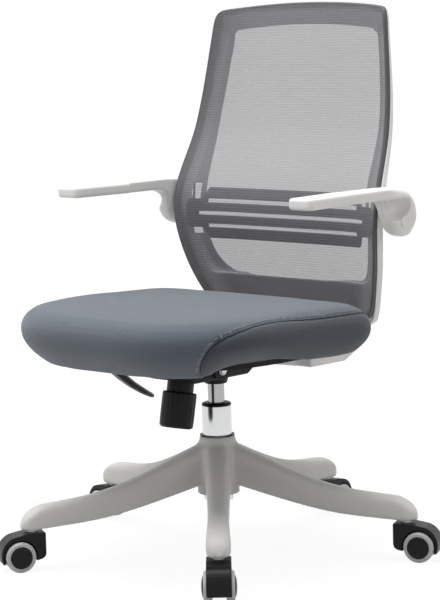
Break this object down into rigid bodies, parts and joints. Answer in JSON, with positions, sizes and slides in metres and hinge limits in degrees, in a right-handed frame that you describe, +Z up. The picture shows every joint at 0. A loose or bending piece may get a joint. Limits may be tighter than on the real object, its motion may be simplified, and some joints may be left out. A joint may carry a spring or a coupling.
{
  "type": "office chair",
  "caption": "Swivel office chair: padded seat, curved mesh back with sliding lumbar support, flip-up arms, gas lift, tilt mechanism and a star base on twin-wheel casters.",
  "frame": {"origin": "on the floor, under the middle of the chair's box", "axes": "+Z up, -Y the way the sitter faces, +X the sitter's left"},
  "size_m": [0.7224, 0.7128, 0.9],
  "materials": {
    "white_plastic": "satin white moulded plastic",
    "base_plastic": "light grey moulded plastic",
    "black_plastic": "satin black moulded plastic",
    "black_steel": "black powder coat",
    "bright_steel": "bare steel",
    "chrome": "polished",
    "grey_plastic": "dark grey moulded plastic",
    "grey_mesh": "open woven mesh",
    "seat_fabric": "blue-grey woven cover on foam",
    "wheel_grey": "light grey tread"
  },
  "bodies": {
    "base": {"star_base": "base_plastic", "gas_column_tube": "chrome", "gas_column_bush": "black_plastic"},
    "spindle": {"gas_piston_rod": "bright_steel", "thrust_bearing": "bright_steel", "piston_rod_clip": "bright_steel"},
    "mechanism": {"gas_pressure_tube": "chrome", "mechanism_housing": "black_steel", "tilt_axle": "bright_steel", "tilt_axle_clip_left": "white_plastic", "tilt_axle_clip_right": "white_plastic", "spring_sleeve": "black_plastic", "tension_spring": "bright_steel"},
    "release_pin": {"gas_release_pin": "bright_steel"},
    "knob": {"tension_knob": "black_plastic", "tension_bolt": "bright_steel"},
    "spring_seat": {"spring_seat": "bright_steel"},
    "lever_bush": {"lever_bush": "black_plastic"},
    "lever": {"lever_rod": "black_steel", "lever_paddle": "black_plastic"},
    "upper": {"seat_plate": "black_steel", "seat_pan": "black_plastic", "seat_cushion": "seat_fabric", "back_bracket": "white_plastic", "back_bolt_1": "bright_steel", "back_bolt_2": "bright_steel", "back_bolt_3": "bright_steel", "back_shell": "white_plastic", "mesh_frame": "grey_plastic", "back_mesh": "grey_mesh", "arm_pin_left": "white_plastic", "arm_pin_right": "white_plastic"},
    "lumbar": {"lumbar_support": "grey_plastic"},
    "arm_left": {"arm_left": "white_plastic"},
    "arm_right": {"arm_right": "white_plastic"},
    "caster_1": {"caster_1_hood": "black_plastic", "caster_1_stem": "bright_steel", "caster_1_axle": "bright_steel"},
    "caster_1_wheel_left": {"caster_1_wheel_left": "wheel_grey"},
    "caster_1_wheel_right": {"caster_1_wheel_right": "wheel_grey"},
    "caster_2": {"caster_2_hood": "black_plastic", "caster_2_stem": "bright_steel", "caster_2_axle": "bright_steel"},
    "caster_2_wheel_left": {"caster_2_wheel_left": "wheel_grey"},
    "caster_2_wheel_right": {"caster_2_wheel_right": "wheel_grey"},
    "caster_3": {"caster_3_hood": "black_plastic", "caster_3_stem": "bright_steel", "caster_3_axle": "bright_steel"},
    "caster_3_wheel_left": {"caster_3_wheel_left": "wheel_grey"},
    "caster_3_wheel_right": {"caster_3_wheel_right": "wheel_grey"},
    "caster_4": {"caster_4_hood": "black_plastic", "caster_4_stem": "bright_steel", "caster_4_axle": "bright_steel"},
    "caster_4_wheel_left": {"caster_4_wheel_left": "wheel_grey"},
    "caster_4_wheel_right": {"caster_4_wheel_right": "wheel_grey"},
    "caster_5": {"caster_5_hood": "black_plastic", "caster_5_stem": "bright_steel", "caster_5_axle": "bright_steel"},
    "caster_5_wheel_left": {"caster_5_wheel_left": "wheel_grey"},
    "caster_5_wheel_right": {"caster_5_wheel_right": "wheel_grey"}
  },
  "joints": [
    {"name": "swivel", "type": "hinge", "parent": "base", "child": "spindle", "pos_m": [0.01122, -0.0193, 0.088], "axis": [0, 0, 1], "continuous": true},
    {"name": "seat_height", "type": "slide", "parent": "spindle", "child": "mechanism", "axis": [0, 0, 1], "range_m": [-0.018, 0.07]},
    {"name": "seat_tilt", "type": "hinge", "parent": "mechanism", "child": "upper", "pos_m": [0.01122, -0.0633, 0.315], "axis": [-1, 0, 0], "range_deg": [0, 12], "stiffness_Nm_per_rad": 70, "springref_deg": -20.05},
    {"name": "lumbar_height", "type": "slide", "parent": "upper", "child": "lumbar", "axis": [0, 0.0538, 0.9986], "range_m": [-0.014, 0.014]},
    {"name": "arm_left_flip", "type": "hinge", "parent": "upper", "child": "arm_left", "pos_m": [0.26122, 0.1487, 0.548], "axis": [-1, 0, 0], "range_deg": [0, 90]},
    {"name": "arm_right_flip", "type": "hinge", "parent": "upper", "child": "arm_right", "pos_m": [-0.23878, 0.1487, 0.548], "axis": [-1, 0, 0], "range_deg": [0, 90]},
    {"name": "tension_turn", "type": "hinge", "parent": "mechanism", "child": "knob", "pos_m": [0.01122, -0.1173, 0.222], "axis": [0, 0.1994, 0.9799], "range_deg": [-720, 720]},
    {"name": "spring_seat_travel", "type": "slide", "parent": "mechanism", "child": "spring_seat", "axis": [0, 0.1994, 0.9799], "range_m": [-0.0041, 0.0041], "deforming": ["tension_spring"]},
    {"name": "lever_lift", "type": "hinge", "parent": "mechanism", "child": "lever_bush", "pos_m": [-0.03928, -0.01041, 0.3165], "axis": [0.1733, 0.9849, 0], "range_deg": [0, 5.3]},
    {"name": "lever_pull", "type": "slide", "parent": "lever_bush", "child": "lever", "axis": [-0.9849, 0.1733, 0], "range_m": [0, 0.01]},
    {"name": "release_pin_travel", "type": "slide", "parent": "mechanism", "child": "release_pin", "axis": [0, 0, 1], "range_m": [-0.0049, 0]},
    {"name": "caster_1_swivel", "type": "hinge", "parent": "base", "child": "caster_1", "pos_m": [0.22782, -0.25485, 0.066], "axis": [0, 0, 1], "continuous": true},
    {"name": "caster_1_roll_left", "type": "hinge", "parent": "caster_1", "child": "caster_1_wheel_left", "pos_m": [0.24407, -0.27252, 0.025], "axis": [0.7361, 0.6769, 0], "continuous": true},
    {"name": "caster_1_roll_right", "type": "hinge", "parent": "caster_1", "child": "caster_1_wheel_right", "pos_m": [0.24407, -0.27252, 0.025], "axis": [0.7361, 0.6769, 0], "continuous": true},
    {"name": "caster_2_swivel", "type": "hinge", "parent": "base", "child": "caster_2", "pos_m": [0.30218, 0.11391, 0.066], "axis": [0, 0, 1], "continuous": true},
    {"name": "caster_2_roll_left", "type": "hinge", "parent": "caster_2", "child": "caster_2_wheel_left", "pos_m": [0.324, 0.1239, 0.025], "axis": [-0.4163, 0.9092, 0], "continuous": true},
    {"name": "caster_2_roll_right", "type": "hinge", "parent": "caster_2", "child": "caster_2_wheel_right", "pos_m": [0.324, 0.1239, 0.025], "axis": [-0.4163, 0.9092, 0], "continuous": true},
    {"name": "caster_3_swivel", "type": "hinge", "parent": "base", "child": "caster_3", "pos_m": [-0.02556, 0.29858, 0.066], "axis": [0, 0, 1], "continuous": true},
    {"name": "caster_3_roll_left", "type": "hinge", "parent": "caster_3", "child": "caster_3_wheel_left", "pos_m": [-0.02832, 0.32242, 0.025], "axis": [-0.9934, -0.1149, 0], "continuous": true},
    {"name": "caster_3_roll_right", "type": "hinge", "parent": "caster_3", "child": "caster_3_wheel_right", "pos_m": [-0.02832, 0.32242, 0.025], "axis": [-0.9934, -0.1149, 0], "continuous": true},
    {"name": "caster_4_swivel", "type": "hinge", "parent": "base", "child": "caster_4", "pos_m": [-0.30246, 0.04395, 0.066], "axis": [0, 0, 1], "continuous": true},
    {"name": "caster_4_roll_left", "type": "hinge", "parent": "caster_4", "child": "caster_4_wheel_left", "pos_m": [-0.32599, 0.04869, 0.025], "axis": [-0.1977, -0.9803, 0], "continuous": true},
    {"name": "caster_4_roll_right", "type": "hinge", "parent": "caster_4", "child": "caster_4_wheel_right", "pos_m": [-0.32599, 0.04869, 0.025], "axis": [-0.1977, -0.9803, 0], "continuous": true},
    {"name": "caster_5_swivel", "type": "hinge", "parent": "base", "child": "caster_5", "pos_m": [-0.14587, -0.29809, 0.066], "axis": [0, 0, 1], "continuous": true},
    {"name": "caster_5_roll_left", "type": "hinge", "parent": "caster_5", "child": "caster_5_wheel_left", "pos_m": [-0.15765, -0.319, 0.025], "axis": [0.8712, -0.4909, 0], "continuous": true},
    {"name": "caster_5_roll_right", "type": "hinge", "parent": "caster_5", "child": "caster_5_wheel_right", "pos_m": [-0.15765, -0.319, 0.025], "axis": [0.8712, -0.4909, 0], "continuous": true}
  ],
  "couplings": [
    {"joint": "spring_seat_travel", "follows": "tension_turn", "m_per_rad": 0.0003183},
    {"joint": "release_pin_travel", "follows": "lever_lift", "m_per_rad": -0.05128}
  ]
}
